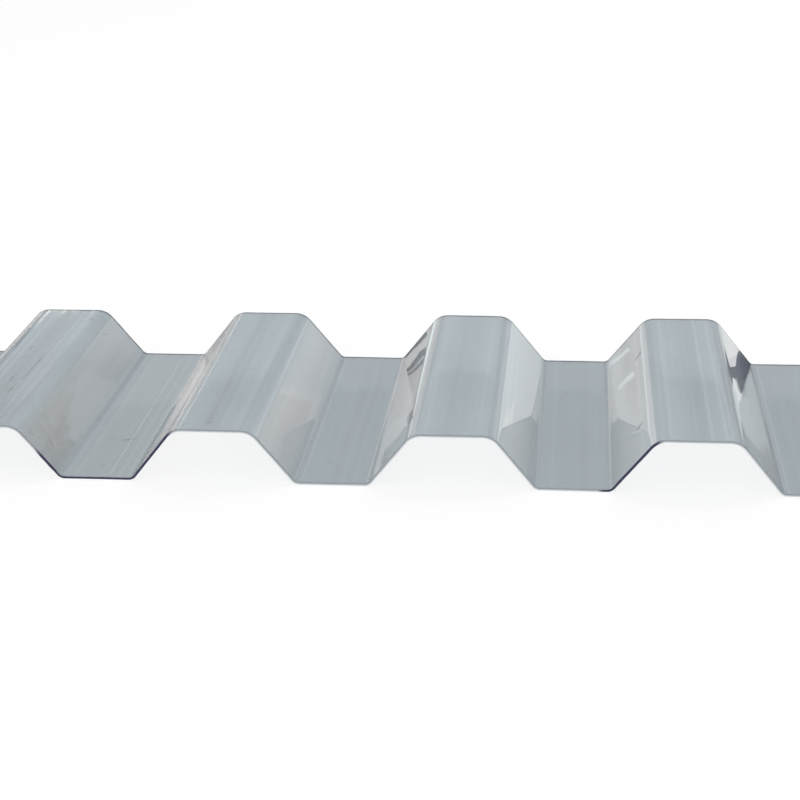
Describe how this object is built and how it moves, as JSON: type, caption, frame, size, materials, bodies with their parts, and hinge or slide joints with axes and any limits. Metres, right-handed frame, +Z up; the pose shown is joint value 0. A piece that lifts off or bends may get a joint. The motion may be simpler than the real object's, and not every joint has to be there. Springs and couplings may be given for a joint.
{
  "type": "ribbed polycarbonate sheet",
  "caption": "Thin see-through grey plastic roofing sheet with flat-topped trapezoidal ribs and flat pans, cut to a short strip across its full width.",
  "frame": {"origin": "on the floor under the middle of the sheet: underside of the pans, centre of the middle rib, half way between the sawn ends", "axes": "+X across the ribs, along the sheet's width; +Y along the ribs; +Z up, the way the ribs stand"},
  "size_m": [0.86, 0.115, 0.018],
  "materials": {
    "polycarbonate": "gloss"
  },
  "bodies": {
    "root": {"ribbed_sheet": "polycarbonate"}
  },
  "joints": []
}
